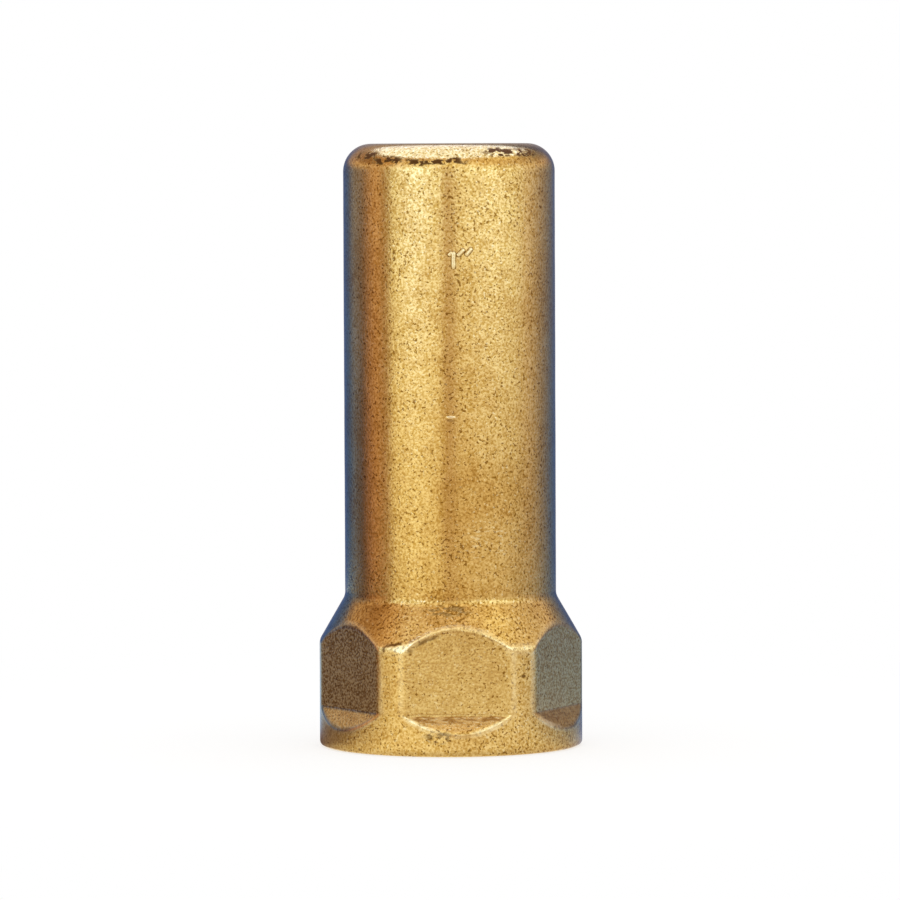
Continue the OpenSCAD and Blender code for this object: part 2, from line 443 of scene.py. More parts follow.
def made_by(nodes, source, sizes, name, sharp_angle):
    """The plain mesh object that a tree makes of a source object, which is then removed."""
    modifier = source.modifiers.new(name, "NODES")
    modifier.node_group = nodes.tree
    for item in nodes.tree.interface.items_tree:
        if item.in_out == "INPUT" and item.name in sizes:
            modifier[item.identifier] = sizes[item.name]
    scene.collection.objects.link(source)
    depsgraph = bpy.context.evaluated_depsgraph_get()
    mesh = bpy.data.meshes.new_from_object(source.evaluated_get(depsgraph), depsgraph=depsgraph)
    bpy.data.objects.remove(source)
    mesh.name = name
    mesh.set_sharp_from_angle(angle=sharp_angle)
    piece = bpy.data.objects.new(name, mesh)
    scene.collection.objects.link(piece)
    return piece


# Finishes

def shader_group(name, sizes, outputs):
    """A shader node group with a place vector, named float inputs and named float outputs."""
    inputs = {"Place": "Vector", **dict.fromkeys(sizes, "Float")}
    return node_group("ShaderNodeTree", name, inputs, dict.fromkeys(outputs, "Float"))


def blasted_grain():
    """Group: grain, dark pits, bright glints, slow blotches and the swell of a blasted metal."""
    nodes, given = shader_group("blasted_grain", ["Fineness", "Pit Limit"],
                                ["Grain", "Pits", "Glints", "Blotch", "Swell"])
    place, fineness = given["Place"], given["Fineness"]

    def layer(share, detail):
        return nodes.noise(place, nodes.times(fineness, share), detail)

    grain = nodes.remap(layer(1.0, 2.0), *NOISE_SWING)
    crowd = nodes.remap(layer(0.05, 2.0), *NOISE_SWING, PIT_CROWD, -PIT_CROWD)
    pit_limit = nodes.plus(given["Pit Limit"], crowd)
    pits = nodes.remap(layer(0.9, 1.0), pit_limit, nodes.plus(pit_limit, PIT_EDGE))
    glints = nodes.remap(layer(0.85, 1.0), *GLINT_SWING)
    nodes.add("NodeGroupOutput", grain, pits, glints, layer(0.03, 3.0), layer(0.13, 2.0))
    return nodes.tree


def turning_marks():
    """Group: the fine rings that a lathe tool leaves, along a bore and across a face."""
    nodes, given = shader_group("turning_marks", ["Feed"], ["Rings"])
    x, y, z = nodes.add("ShaderNodeSeparateXYZ", given["Place"]).outputs
    steps = nodes.times(nodes.plus(nodes.length(x, y), z), given["Feed"])
    rings = nodes.out("ShaderNodeTexNoise", named={"W": steps, "Scale": 1.0, "Detail": 2.0},
                      noise_dimensions="1D")
    nodes.add("NodeGroupOutput", rings)
    return nodes.tree


GRAIN = blasted_grain()
RINGS = turning_marks()


def new_material(name, values):
    """A material with its Principled shader, and the values that are the same all over set on it."""
    material = bpy.data.materials.new(name)
    material.use_nodes = True
    nodes = Nodes(material.node_tree)
    shader = material.node_tree.nodes["Principled BSDF"]
    nodes.put_named(shader, values)
    place = nodes.add("ShaderNodeTexCoord").outputs["Object"]
    return material, nodes, shader, place


def placed(nodes, group, values):
    """The outputs of a shader group in a material, with its own values."""
    node = nodes.add("ShaderNodeGroup", node_tree=group)
    nodes.put_named(node, values)
    return node.outputs


def bumped(nodes, height, depth):
    """The normal of a height that runs from 0 to 1 over a depth in metres."""
    return nodes.out("ShaderNodeBump", named={"Strength": 1.0, "Distance": depth, "Height": height})


def spots(nodes, place, *marks):
    """Mask of small marks on the surface, each flattened along the axis."""
    masks = []
    for bearing, distance, z, flatness, radius in marks:
        centre = at_bearing(bearing, distance, z)
        away = nodes.out("ShaderNodeVectorMath", place, centre, operation="SUBTRACT")
        scaled = nodes.out("ShaderNodeVectorMath", away, (1.0, 1.0, flatness), operation="MULTIPLY")
        length = nodes.add("ShaderNodeVectorMath", scaled, operation="LENGTH").outputs["Value"]
        masks.append(nodes.remap(length, radius, SPOT_CORE * radius))
    return nodes.most(*masks)


def forged_brass():
    """Hot-forged brass, shot-blasted: golden, finely pitted, and browner where scale stayed."""
    material, nodes, shader, place = new_material("forged_brass", {"Specular IOR Level": 0.1})
    height = nodes.add("ShaderNodeSeparateXYZ", place).outputs[2]
    flat, coarse_with_sparkle, ramp, lip_and_highlight, crease_shade = map(nodes.attribute, ("flat", "coarse_with_sparkle", "ramp", "lip_and_highlight", "crease_shade"))

    # Grain, with fewer pits on the flats and more on the shoulder
    more_pits = nodes.times(nodes.within(height, *ROUGH_SHOULDER), SHOULDER_PITS)
    pit_limit = nodes.minus(nodes.remap(flat, 0.0, 1.0, *PIT_LIMITS), more_pits)
    blasted = placed(nodes, GRAIN, {"Place": place, "Fineness": BLAST_WAVES, "Pit Limit": pit_limit})
    grain, pits, glints = blasted["Grain"], blasted["Pits"], blasted["Glints"]

    # Single marks, among them a nick with a painted highlight on it and painted shade under it, and stains
    # that are broken up
    nick_and_highlight, nick_shade, pit, scuff = (spots(nodes, place, mark) for mark in (NICK, NICK_SHADE, PIT, SCUFF))
    scuffed = nodes.times(scuff, nodes.stretched(place, *SCUFF_LINES))
    crown_line = nodes.within(nodes.plus(height, nodes.wander(place, *LINE_WANDER)), *CROWN_LINE)
    faint = nodes.times(spots(nodes, place, *FAINT_STAINS), FAINT)
    on_crown = nodes.times(spots(nodes, place, CROWN_STAIN), crown_line)
    stained = nodes.most(faint, on_crown, spots(nodes, place, *EDGE_STAINS))
    stains = nodes.times(stained, nodes.stretched(place, *STAIN_BREAKS))

    # Brown scale: mottled all over, with some larger patches and a line round the crown
    mottle = nodes.plus(nodes.cloud(place, *MOTTLE), nodes.remap(blasted["Blotch"], *SCALE_BLOTCH))
    on_tube = nodes.times(spots(nodes, place, TUBE_PATCH), TUBE_BROWN)
    on_shoulder = nodes.times(spots(nodes, place, *SHOULDER_PATCHES), SHOULDER_BROWN)
    uneven = nodes.plus(mottle, nodes.most(on_tube, on_shoulder))
    line = nodes.times(crown_line, nodes.cloud(place, *LINE_PATCHES))
    scale = nodes.math("ADD", uneven, line, clamp=True)

    # Colour, from the grain's shade to its shine, with (mask, strength, colour) laid over it
    shade = nodes.mix(scale, colour(0.61, 0.36, 0.07), colour(0.41, 0.2, 0.028))
    shine = nodes.mix(scale, colour(0.93, 0.68, 0.26), colour(0.76, 0.475, 0.135))
    coarse_grain = nodes.remap(grain, *SPECKLE_SWING)
    speckle_and_sparkle = nodes.mix(coarse_grain, colour(0.38, 0.2, 0.045), colour(1.0, 0.8, 0.38))
    streak = nodes.stretched(place, *RAMP_STREAKS)
    streaks = nodes.mix(streak, colour(0.28, 0.13, 0.022), colour(0.6, 0.405, 0.14))
    pale = colour(1.0, 0.86, 0.48)
    brown = colour(0.13, 0.05, 0.006)
    layers = (
        (flat, 0.4, colour(0.63, 0.44, 0.15)),
        # Coarse grain of the side flats, with painted sparkle in its pale specks
        (coarse_with_sparkle, 0.7, speckle_and_sparkle),
        (pits, 0.9, colour(0.25, 0.11, 0.008)),
        # Pale over the glints: painted glints
        (glints, 0.5, pale),
        (ramp, 0.8, streaks),
        (scuffed, 0.5, pale),
        # Painted highlights along the lips, edges and corners, on the fold's facet and on the mark's top
        (lip_and_highlight, 0.8, pale),
        # Painted shade along the fold's crease, under the ridge and at the mark's foot
        (crease_shade, 0.9, brown),
        (stains, 1.0, brown),
        # Painted shade under the nick, and a painted highlight on it
        (nick_shade, 0.4, brown),
        (nick_and_highlight, 1.0, colour(0.97, 0.84, 0.52)),
        (pit, 0.85, brown),
    )

    # Relief, as (mask, height)
    slow = nodes.noise(place, SLOW_WAVES)
    heights = (
        (blasted["Swell"], 1.0),
        (slow, 3.5),
        (grain, 0.65),
        (glints, 0.25),
        (pits, -0.15),
        (nodes.times(ramp, streak), 0.12),
        (pit, -1.0),
        (nick_and_highlight, 3.0),
    )
    relief = nodes.plus(*(nodes.times(mask, height) for mask, height in heights))

    # Duller under scale, and hardly metal under a stain
    duller = nodes.plus(nodes.times(scale, SCALE_ROUGH), nodes.times(stains, STAIN_ROUGH))
    nodes.put_named(shader, {
        "Base Color": nodes.blend(nodes.mix(grain, shade, shine), *layers),
        "Metallic": nodes.remap(stains, 0.0, 1.0, 1.0, STAIN_METAL),
        "Roughness": nodes.plus(nodes.remap(grain, 0.0, 1.0, *GRAIN_ROUGH), duller),
        "Normal": bumped(nodes, relief, BRASS_RELIEF),
    })
    return material


def turned(name, feed, dull, bright, roughness, depth, values):
    """A lathe-turned surface: its rings run between two colours and two roughnesses."""
    material, nodes, shader, place = new_material(name, values)
    rings = placed(nodes, RINGS, {"Place": place, "Feed": feed})["Rings"]
    nodes.put_named(shader, {
        "Base Color": nodes.mix(nodes.remap(rings, *NOISE_SWING), dull, bright),
        "Roughness": nodes.remap(rings, *NOISE_SWING, *roughness),
        "Normal": bumped(nodes, rings, depth),
    })
    return material


def seal_rubber():
    """Greased black nitrile of the piston's seals."""
    material, nodes, shader, place = new_material("seal_rubber", {})
    grain = placed(nodes, GRAIN, {"Place": place, "Fineness": 3000.0, "Pit Limit": 0.7})
    bloom = nodes.remap(grain["Blotch"], *BLOTCH_SWING)
    nodes.put_named(shader, {
        "Base Color": nodes.mix(bloom, colour(0.012, 0.012, 0.012), colour(0.03, 0.03, 0.03)),
        "Roughness": nodes.remap(grain["Blotch"], *BLOTCH_SWING, 0.3, 0.5),
        "Normal": bumped(nodes, grain["Grain"], 0.006 * MM),
    })
    return material


def steel(name, dark, bright, depth):
    """Plain steel of the spring's wire or of the stamped ring."""
    material, nodes, shader, place = new_material(name, {"Metallic": 1.0})
    grain = placed(nodes, GRAIN, {"Place": place, "Fineness": 3200.0, "Pit Limit": 0.64})
    shade = nodes.mix(nodes.remap(grain["Blotch"], *BLOTCH_SWING), dark, bright)
    nodes.put_named(shader, {
        "Base Color": nodes.blend(shade, (grain["Pits"], 0.6, colour(0.08, 0.07, 0.06))),
        "Roughness": nodes.remap(grain["Grain"], *NOISE_SWING, 0.42, 0.26),
        "Normal": bumped(nodes, grain["Grain"], depth),
    })
    return material


FORGED_BRASS = forged_brass()
TURNED_BRASS = turned("turned_brass", 9000.0, colour(0.74, 0.52, 0.20), colour(0.86, 0.66, 0.30), (0.32, 0.2),
                      0.006 * MM, {"Metallic": 1.0})
ACETAL = turned("acetal", 6000.0, colour(0.74, 0.73, 0.68), colour(0.82, 0.81, 0.76), (0.5, 0.36), 0.008 * MM,
                {"Subsurface Weight": 0.15, "Subsurface Radius": in_mm(1.2, 1.1, 0.9)})
SEAL_RUBBER = seal_rubber()
SPRING_STEEL = steel("spring_steel", colour(0.46, 0.46, 0.45), colour(0.62, 0.62, 0.60), 0.006 * MM)
RING_STEEL = steel("ring_steel", colour(0.16, 0.15, 0.14), colour(0.26, 0.25, 0.23), 0.012 * MM)


# Forged body

def spaced(start, end, step):
    """Values from start towards end, about a step apart, without end itself."""
    count = max(1, round(abs(end - start) / step))
    return [start + (end - start) * i / count for i in range(count)]


def arc(centre_r, centre_z, radius, start, end, steps):
    """Points of an arc in a half section, angles in degrees, without the last one."""
    angles = [math.radians(start + (end - start) * i / steps) for i in range(steps)]
    return [(centre_r + radius * math.cos(a), centre_z + radius * math.sin(a)) for a in angles]


def outside_radius(z):
    """Radius of the blank's outside at a height, from the collar's side up to the tube."""
    run = CONE_ROUND * math.tan(CONE_ANGLE / 2)
    foot_low = CONE_FOOT_Z - run
    foot_high = CONE_FOOT_Z + run * math.cos(CONE_ANGLE)
    head_low = CONE_HEAD_Z - run * math.cos(CONE_ANGLE)
    head_high = CONE_HEAD_Z + run
    if z <= foot_low:
        return COLLAR_R
    if z < foot_high:
        return COLLAR_R - CONE_ROUND + math.sqrt(CONE_ROUND ** 2 - (z - foot_low) ** 2)
    if z <= head_low:
        return COLLAR_R - (z - CONE_FOOT_Z) * math.tan(CONE_ANGLE)
    if z < head_high:
        return TUBE_R + CONE_ROUND - math.sqrt(CONE_ROUND ** 2 - (head_high - z) ** 2)
    return TUBE_R


def bore_section():
    """Half section of the inside, from the blind end's middle down to the mouth."""
    end_r = BORE_R - BLIND_R
    section = [(share * end_r, BORE_END_Z, columns) for share, columns in BLIND_RINGS]
    wall = arc(end_r, BORE_END_Z - BLIND_R, BLIND_R, 90, 0, SMALL_ARC_STEPS)
    wall += [(BORE_R, z) for z in spaced(BORE_END_Z - BLIND_R, RING_GROOVE_TOP, BORE_STEP)]
    wall += [(BORE_R, RING_GROOVE_TOP), (RING_GROOVE_R, RING_GROOVE_TOP)]
    wall += [(RING_GROOVE_R, ring_low.z), (BORE_R, ring_low.z), (BORE_R, LEAD_IN_Z)]
    wall += [(RELIEF_R, BORE_FOOT_Z), (RELIEF_R, THREAD_LEN)]
    wall += [(max(CREST_R, MOUTH_R - z), z) for z in spaced(THREAD_LEN, 0.0, THREAD_STEP)]
    wall += [(MOUTH_R, 0.0)]
    return section + [(r, z, COARSE) for r, z in wall]


def outside_section():
    """Half section of the outside, from the bottom face up to the crown's middle."""
    crown_z = BODY_H - CROWN_R
    heads = [foot for foot, _ in ROWS[1:]] + [crown_z]
    wall = arc(COLLAR_R - FOOT_R, FOOT_R, FOOT_R, -90, 0, SMALL_ARC_STEPS)
    for (foot, step), head in zip(ROWS, heads):
        wall += [(outside_radius(z), z) for z in spaced(foot, head, step)]
    wall += arc(TUBE_R - CROWN_R, crown_z, CROWN_R, 0, 90, CROWN_STEPS)
    wall += [(TUBE_R - CROWN_R, BODY_H)]
    section = [(r, z, FINE) for r, z in wall]
    return section + [(share * (TUBE_R - CROWN_R), BODY_H, columns) for share, columns in CROWN_RINGS]


def bridge(first, first_count, second, second_count):
    """Faces between two rings of points with equal counts, twice the count, or a pole."""
    if first_count == second_count:
        return [(first + i, first + (i + 1) % first_count,
                 second + (i + 1) % first_count, second + i) for i in range(first_count)]
    if first_count > second_count:
        return [face[::-1] for face in bridge(second, second_count, first, first_count)]
    if first_count == 1:
        return [(first, second + (i + 1) % second_count, second + i) for i in range(second_count)]
    faces = []
    for i in range(first_count):
        here, after = first + i, first + (i + 1) % first_count
        left, mid, right = (second + (2 * i + k) % second_count for k in range(3))
        faces += [(here, mid, left), (here, after, mid), (after, right, mid)]
    return faces


def body_blank():
    """Revolved blank of the body as one closed mesh, its turned faces and outside points marked."""
    inside = bore_section()
    rings = inside + outside_section()
    points, faces, turned_faces, outside, starts = [], [], [], [], []
    for k, (radius, z, columns) in enumerate(rings):
        starts.append(len(points))
        outside += [float(k >= len(inside))] * columns
        for i in range(columns):
            around = 2 * math.pi * i / columns
            points.append((radius * math.cos(around), radius * math.sin(around), z))
    for k in range(len(rings) - 1):
        made = bridge(starts[k], rings[k][2], starts[k + 1], rings[k + 1][2])
        faces += made
        turned_faces += [k < len(inside)] * len(made)
    mesh = bpy.data.meshes.new("body_blank")
    mesh.from_pydata(points, [], faces)
    mesh.attributes.new("turned", "BOOLEAN", "FACE").data.foreach_set("value", turned_faces)
    mesh.attributes.new("outside", "FLOAT", "POINT").data.foreach_set("value", outside)
    work = bmesh.new()
    work.from_mesh(mesh)
    bmesh.ops.recalc_face_normals(work, faces=work.faces)
    work.to_mesh(mesh)
    work.free()
    return bpy.data.objects.new("body_blank", mesh)


BODY_SIZES = {
    "Flat Radius": FLAT_R,
    "Flat Foot": FLAT_FOOT_Z,
    "Ramp Slope": math.tan(RAMP_ANGLE),
    "Edge Softness": EDGE_SOFT,
    "Lip Height": LIP_H,
    "Facet Slope": math.tan(FACET_ANGLE),
    "Unevenness": UNEVEN,
    "Crest Radius": CREST_R,
    "Pitch": PITCH,
    "Thread Length": THREAD_LEN,
}


def body_tree():
    """Tree that presses the spanner flats into the blank and cuts the pipe thread."""
    nodes, size = geometry_tree("forge_and_thread", BODY_SIZES)
    position, x, y, z = nodes.position()
    radius = nodes.length(x, y)
    angle = nodes.math("ARCTAN2", y, x)
    outside = nodes.out("GeometryNodeInputNamedAttribute", "outside", data_type="FLOAT")
    soft = size["Edge Softness"]

    # Spanner flats, and the ramps that they run out in
    half = math.pi / FLATS
    from_front = nodes.math("WRAP", nodes.plus(angle, math.pi / 2), math.pi, -math.pi)
    from_flat = nodes.math("WRAP", from_front, half, -half)
    run_out = nodes.minus(size["Flat Foot"], z)
    ramp = nodes.times(run_out, size["Ramp Slope"])
    step_out = nodes.math("SMOOTH_MAX", ramp, 0.0, nodes.times(soft, RAMP_SOFT_SHARE))
    limit = nodes.over(nodes.plus(size["Flat Radius"], step_out), nodes.math("COSINE", from_flat))
    pressed = nodes.math("SMOOTH_MIN", radius, limit, soft)
    proud = nodes.minus(radius, limit)
    in_press = nodes.times(outside, nodes.remap(proud, 0.0, TRACE_FADE))
    in_ramp = nodes.remap(run_out, 0.0, TRACE_FADE)
    on_flat = nodes.times(in_press, nodes.minus(1.0, in_ramp))
    left_side = nodes.within(from_front, *LEFT_SIDE)
    right_side = nodes.within(from_front, *RIGHT_SIDE)
    # Coarser side flats, which the material speckles with painted sparkle
    coarse_with_sparkle = nodes.times(on_flat, nodes.plus(left_side, nodes.times(right_side, RIGHT_COARSE)))
    smooth = nodes.minus(on_flat, coarse_with_sparkle)
    on_ramp = nodes.times(in_press, in_ramp, nodes.remap(run_out, *STREAK_RUN))
    at_side = nodes.most(left_side, nodes.times(right_side, RIGHT_PLAIN))
    streaked = nodes.times(on_ramp, nodes.remap(at_side, 0.0, 1.0, 1.0, SIDE_STREAKS))

    # Lips round the arches, and painted highlights along them, along the low and upright edges and at the
    # corners
    sideways = nodes.math("ABSOLUTE", from_flat)
    near_edge = nodes.times(outside, nodes.remap(nodes.math("ABSOLUTE", proud), LIP_W, 0.0))
    above_foot_of_lip = nodes.remap(z, *LIP_FOOT)
    arch = nodes.times(above_foot_of_lip, nodes.remap(sideways, *ARCH_SPAN, *ARCH_LIP))
    ridge = nodes.times(nodes.within(from_front, *RIDGE_SPAN), RIDGE_LIP)
    lip_and_highlight = nodes.times(near_edge, nodes.plus(arch, nodes.times(ridge, arch)))
    low_edge = nodes.times(outside, nodes.within(proud, *LOW_EDGE))
    below = nodes.times(nodes.remap(run_out, *LOW_EDGE_RUN), nodes.remap(sideways, *LOW_EDGE_SPAN))
    upright_edge = nodes.times(outside, nodes.within(proud, *UPRIGHT_EDGE))
    low_and_upright_highlights = nodes.most(nodes.times(low_edge, below), nodes.times(upright_edge, UPRIGHT_HIGHLIGHT))
    at_corner = nodes.times(outside, nodes.remap(sideways, *CORNER_SPAN))
    corner = nodes.times(at_corner, nodes.within(z, *CORNER_Z))
    edges = nodes.most(lip_and_highlight, nodes.times(corner, CORNER_HIGHLIGHT), low_and_upright_highlights)

    # Fold at one corner, with painted shade along its torn crease, at its end and under the ridge
    foot = nodes.remap(from_front, *FACET_SPAN, *FACET_FOOT, step="LINEAR")
    head = nodes.remap(from_front, *FACET_SPAN, *FACET_HEAD, step="LINEAR")
    above_foot = nodes.minus(z, foot)
    above_head = nodes.minus(z, head)
    in_span = nodes.times(outside, nodes.within(from_front, *FACET_SPAN, FACET_FADE))
    in_height = nodes.times(nodes.remap(above_foot, *FACET_RISE), nodes.remap(above_head, *FACET_FALL))
    facet = nodes.times(in_span, in_height, nodes.remap(proud, *FACET_EDGE))
    sheared = nodes.minus(COLLAR_R, nodes.times(above_foot, size["Facet Slope"]))
    shear = nodes.least(nodes.minus(sheared, pressed), 0.0)
    torn_head = nodes.plus(above_head, nodes.wander(position, *CREASE_WANDER))
    over_facet = nodes.times(nodes.within(from_front, *CREASE_SPAN), nodes.within(torn_head, *CREASE_BAND))
    across = nodes.times(nodes.minus(from_front, FOLD_END[0]), COLLAR_R / FOLD_END_REACH[0])
    along = nodes.over(nodes.minus(z, FOLD_END[1]), FOLD_END_REACH[1])
    at_end = nodes.remap(nodes.length(across, along), *FOLD_END_FADE)
    under_ridge = nodes.times(ridge, above_foot_of_lip, nodes.within(proud, *RIDGE_FOOT))
    in_crease = nodes.most(over_facet, at_end, under_ridge)
    crease_shade = nodes.times(outside, in_crease, nodes.cloud(position, *CREASE_SHADE_PATCHES))
    # Painted highlights, broken into patches, and a painted highlight on the fold's facet
    patchy_highlight = nodes.times(edges, nodes.cloud(position, *HIGHLIGHT_PATCHES))
    painted_highlight = nodes.most(patchy_highlight, nodes.times(facet, FACET_HIGHLIGHT))

    # Slow unevenness of the forging
    swell = nodes.wander(position, *SWELL_WANDER, detail=1.0)
    raised = nodes.plus(nodes.times(lip_and_highlight, size["Lip Height"]), nodes.times(facet, shear))
    forged = nodes.plus(pressed, raised, nodes.times(outside, swell, size["Unevenness"]))

    # Pipe thread
    turn = nodes.over(angle, 2 * math.pi)
    phase = nodes.minus(nodes.over(z, size["Pitch"]), turn)
    wave = nodes.times(nodes.math("PINGPONG", phase, 0.5), 2 * SHARP_VEE)
    vee = nodes.minus(wave, (SHARP_VEE - CUT_VEE) / 2)
    root = nodes.times(nodes.math("SMOOTH_MIN", vee, CUT_VEE, VEE_ROUND), size["Pitch"])
    cut = nodes.math("SMOOTH_MAX", radius, nodes.plus(size["Crest Radius"], root),
                     nodes.times(size["Pitch"], VEE_ROUND))
    low_enough = nodes.math("LESS_THAN", z, nodes.plus(size["Thread Length"], THREAD_END))
    in_socket = nodes.times(low_enough, nodes.minus(1.0, outside))
    deeper = nodes.times(in_socket, nodes.minus(cut, radius))

    ratio = nodes.over(nodes.plus(forged, deeper), radius)
    geometry = size["Geometry"]
    # Traces that the material reads: painted highlight, painted shade along the crease, the plain flats, the
    # coarse side flats with painted sparkle, and the ramps' streaks
    traces = (("lip_and_highlight", painted_highlight), ("crease_shade", crease_shade), ("flat", smooth), ("coarse_with_sparkle", coarse_with_sparkle), ("ramp", streaked))
    for name, value in traces:
        geometry = nodes.traced(geometry, name, value)
    shaped = nodes.moved(geometry, nodes.times(x, ratio), nodes.times(y, ratio), z)
    is_turned = nodes.out("GeometryNodeInputNamedAttribute", "turned", data_type="BOOLEAN")
    return finish_tree(nodes, shaped, [(FORGED_BRASS, None), (TURNED_BRASS, is_turned)])


body = made_by(body_tree(), body_blank(), BODY_SIZES, "forged_body", sharp_angle=math.radians(40))
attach(body, "casing")
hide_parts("body")


# Raised size mark

MARK_SIZES = {
    "Stroke Width": MARK_STROKE,
    "Relief": MARK_RELIEF,
    "Tube Radius": TUBE_R,
    "Bearing": MARK_BEARING,
    "Height": MARK_Z,
}


def mark_seed():
    """The mark's strokes as loose edges, drawn flat."""
    points, edges = [], []
    for stroke in MARK_STROKES:
        start = len(points)
        points += [(across * MM, up * MM, 0.0) for across, up in stroke]
        edges += [(start + i, start + i + 1) for i in range(len(stroke) - 1)]
    mesh = bpy.data.meshes.new("mark_seed")
    mesh.from_pydata(points, edges, [])
    return bpy.data.objects.new("mark_seed", mesh)


def mark_tree():
    """Tree that rounds strokes into a raised relief and wraps them round the tube."""
    nodes, size = geometry_tree("raise_mark", MARK_SIZES)
    half_width = nodes.over(size["Stroke Width"], 2.0)
    path = nodes.out("GeometryNodeMeshToCurve", size["Geometry"])
    steps = nodes.out("GeometryNodeResampleCurve", path, mode="LENGTH", named={"Length": MARK_STEP})
    run = nodes.add("GeometryNodeSplineParameter").outputs["Length"]
    length = nodes.add("GeometryNodeSplineLength").outputs["Length"]
    to_end = nodes.least(run, nodes.minus(length, run))
    from_round = nodes.remap(to_end, 0.0, half_width, MARK_END, 0.0, step="LINEAR")
    rounded = nodes.math("SQRT", nodes.minus(1.0, nodes.times(from_round, from_round)))
    rods = nodes.rods(steps, MARK_SIDES, half_width, rounded)
    _, x, y, z = nodes.position()
    raise_share = nodes.times(nodes.over(z, size["Stroke Width"]), 2.0)
    # Painted highlight on the mark's top and painted shade at its foot
    for name, low, high, strength in MARK_TRACES:
        rods = nodes.traced(rods, name, nodes.remap(raise_share, low, high, 0.0, strength))
    radius = nodes.plus(size["Tube Radius"], nodes.times(raise_share, size["Relief"]))
    angle = nodes.plus(size["Bearing"], nodes.over(x, size["Tube Radius"]))
    raised = nodes.moved(rods, nodes.times(radius, nodes.math("SINE", angle)),
                         nodes.times(radius, nodes.math("COSINE", angle), -1.0),
                         nodes.plus(y, size["Height"]))
    return finish_tree(nodes, raised, [(FORGED_BRASS, None)])


mark = made_by(mark_tree(), mark_seed(), MARK_SIZES, "size_mark", sharp_angle=math.radians(60))
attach(mark, "casing")


# Coil spring

spring_length = spring_high.z - spring_low.z
SPRING_SIZES = {
    "Turns": float(TURNS),
    "Wire Diameter": WIRE_D,
    "Coil Radius": COIL_R,
    "Length": spring_length,
    "Foot Height": spring_low.z,
}


def spring_tree():
    """Tree that winds a compression spring with closed ends and grinds them flat."""
    nodes, size = geometry_tree("wind_spring", SPRING_SIZES)
    wire_d = size["Wire Diameter"]
    coil_r = size["Coil Radius"]
    line = nodes.out("GeometryNodeMeshLine", TURNS * STEPS_PER_TURN + 1)
    turn = nodes.over(nodes.out("GeometryNodeInputIndex"), float(STEPS_PER_TURN))
    closed_pitch = nodes.plus(wire_d, COIL_GAP)
    tip = nodes.times(wire_d, TIP_SHARE)
    closed_z = nodes.plus(tip, closed_pitch)
    open_turns = nodes.minus(size["Turns"], ENDS)
    open_len = nodes.minus(size["Length"], nodes.times(closed_z, ENDS))
    open_pitch = nodes.over(open_len, open_turns)
    after_first = nodes.minus(turn, 1.0)
    first = nodes.least(turn, 1.0)
    middle = nodes.least(nodes.most(after_first, 0.0), open_turns)
    last = nodes.most(nodes.minus(after_first, open_turns), 0.0)
    closed = nodes.times(nodes.plus(first, last), closed_pitch)
    height = nodes.plus(tip, closed, nodes.times(middle, open_pitch))
    around = nodes.times(turn, 2 * math.pi)
    wound = nodes.moved(line, nodes.times(nodes.math("COSINE", around), coil_r),
                        nodes.times(nodes.math("SINE", around), coil_r), height)
    path = nodes.out("GeometryNodeMeshToCurve", wound)
    wire = nodes.rods(path, WIRE_SIDES, nodes.over(wire_d, 2.0))
    _, x, y, z = nodes.position()
    ground = nodes.least(nodes.most(z, 0.0), size["Length"])
    seated = nodes.moved(wire, x, y, nodes.plus(ground, size["Foot Height"]))
    return finish_tree(nodes, seated, [(SPRING_STEEL, None)])


spring_seed = bpy.data.objects.new("spring_seed", bpy.data.meshes.new("spring_seed"))
spring = made_by(spring_tree(), spring_seed, SPRING_SIZES, "coil_spring", sharp_angle=math.radians(50))
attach(spring, "casing")
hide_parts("spring")
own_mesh(spring)


# Pieces that keep their solid's shape

for node, material in (("piston", ACETAL), ("lower_o_ring", SEAL_RUBBER), ("upper_o_ring", SEAL_RUBBER),
                       ("retaining_ring", RING_STEEL)):
    data = frame["nodes"][node].data
    data.materials.clear()
    data.materials.append(material)


# Camera

camera = bpy.data.objects.new("camera", bpy.data.cameras.new("camera"))
scene.collection.objects.link(camera)
camera.data.lens = LENS_MM
camera.location = at_bearing(0, CAMERA_DISTANCE, CAMERA_Z)
camera.rotation_euler = (Vector((0, 0, AIM_Z)) - camera.location).to_track_quat("-Z", "Y").to_euler()
camera.rotation_euler.rotate_axis("Z", CAMERA_ROLL)
scene.camera = camera


# Studio: glowing bowls that only reflections see, a lamp, the floor and the background

STUDIO_R = 0.32
ROOF_R = 0.33
ROOF_Z = 0.62
LAMP_W = 1.2
CARD_COLUMNS = 180

# Heights of the wall's foot and top, of the stretch above it, and of the gap and the roof's rim
FOOT_Z = 0.03
TOP_Z = 0.13
UPPER_Z = 0.185
EAVES_Z = (0.235, 0.35)
GAP_Z = 0.385
GAP_LIFT = 0.042
RIM_Z = (0.455, 0.475)
RIM_LIFT = 0.12
ROOF_EYE_R = 1.0 * MM

# Floor cards: their height, and the ring round the foot where its shade fades out
FLOOR_CARD_Z = 0.2 * MM
SHADE_R = in_mm(22.2, 30.0)

# Tints of the glow: none, the shade at the foot, and the fading eaves
PLAIN = (1.0, 1.0, 1.0)
FOOT_SHADE = (0.75, 0.72, 0.70)
EAVES_FADE = (0.97, 0.93, 0.86)

# Floor and background: the floor is grey and glows a little, and turns white over its fade
FLOOR_GREY = 0.35
FLOOR_GLOW_NEAR = 0.72
FLOOR_FADE = (0.04, 0.18)
FLOOR_REACH = 4.0
FLOOR_Z = -0.1 * MM
SURROUNDINGS = 0.6
WHITE = colour(1, 1, 1)

